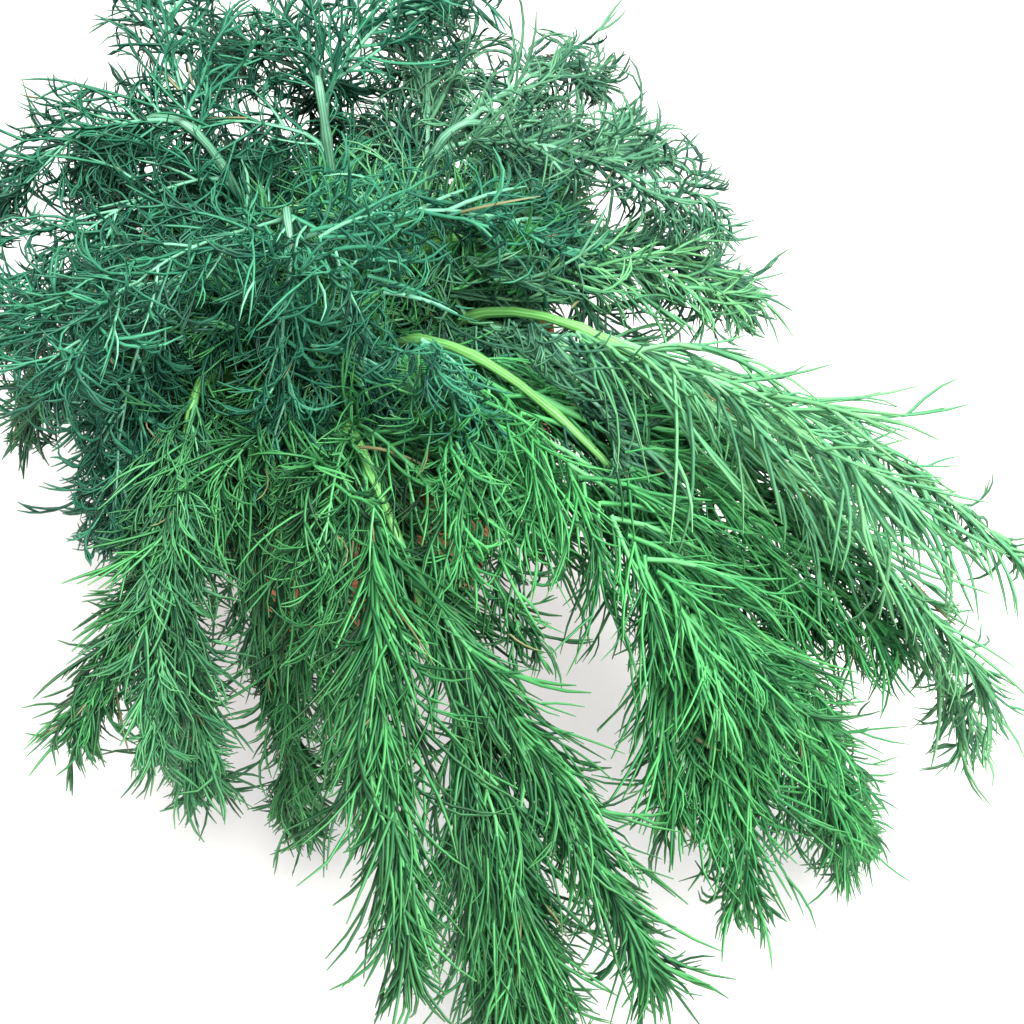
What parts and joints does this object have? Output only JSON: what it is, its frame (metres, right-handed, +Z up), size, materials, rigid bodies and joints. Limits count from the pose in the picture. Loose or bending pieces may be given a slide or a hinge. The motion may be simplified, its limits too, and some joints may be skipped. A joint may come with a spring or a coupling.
{
  "type": "potted dill",
  "caption": "Dill plant growing in a plain tapered clay pot with a banded rim, its feathery leaves arching up and flopping over one side.",
  "frame": {"origin": "centre of the pot's base, on the surface that the pot stands on", "axes": "+Z up; -Y is the front, the side that the plant flops over; +X is the plant's right, seen from the front"},
  "size_m": [0.2548, 0.2682, 0.1884],
  "materials": {
    "clay": "unglazed, matt, with bloom",
    "earth": "damp crumbly potting compost",
    "stem_green": "smooth, faintly ribbed, waxy",
    "leaf_green": "soft satin, thread-like"
  },
  "bodies": {
    "root": {"pot": "clay", "soil": "earth", "stem_right": "stem_green", "stem_front_right": "stem_green", "stem_front": "stem_green", "stem_front_low": "stem_green", "stem_front_left": "stem_green", "stem_left": "stem_green", "stem_back_left": "stem_green", "stem_back": "stem_green", "stem_back_right": "stem_green", "stem_right_high": "stem_green", "stem_centre": "stem_green", "leaf_right_1": "leaf_green", "leaf_right_2": "leaf_green", "leaf_right_3": "leaf_green", "leaf_right_4": "leaf_green", "leaf_right_5": "leaf_green", "leaf_front_right_1": "leaf_green", "leaf_front_right_2": "leaf_green", "leaf_front_right_3": "leaf_green", "leaf_front_right_4": "leaf_green", "leaf_front_right_5": "leaf_green", "leaf_front_1": "leaf_green", "leaf_front_2": "leaf_green", "leaf_front_3": "leaf_green", "leaf_front_4": "leaf_green", "leaf_front_5": "leaf_green", "leaf_front_low_1": "leaf_green", "leaf_front_low_2": "leaf_green", "leaf_front_low_3": "leaf_green", "leaf_front_low_4": "leaf_green", "leaf_front_left_1": "leaf_green", "leaf_front_left_2": "leaf_green", "leaf_front_left_3": "leaf_green", "leaf_front_left_4": "leaf_green", "leaf_left_1": "leaf_green", "leaf_left_2": "leaf_green", "leaf_left_3": "leaf_green", "leaf_left_4": "leaf_green", "leaf_back_left_1": "leaf_green", "leaf_back_left_2": "leaf_green", "leaf_back_left_3": "leaf_green", "leaf_back_left_4": "leaf_green", "leaf_back_1": "leaf_green", "leaf_back_2": "leaf_green", "leaf_back_3": "leaf_green", "leaf_back_4": "leaf_green", "leaf_back_right_1": "leaf_green", "leaf_back_right_2": "leaf_green", "leaf_back_right_3": "leaf_green", "leaf_back_right_4": "leaf_green", "leaf_right_high_1": "leaf_green", "leaf_right_high_2": "leaf_green", "leaf_right_high_3": "leaf_green", "leaf_right_high_4": "leaf_green", "leaf_centre_1": "leaf_green", "leaf_centre_2": "leaf_green", "leaf_centre_3": "leaf_green", "leaf_centre_4": "leaf_green"}
  },
  "joints": []
}
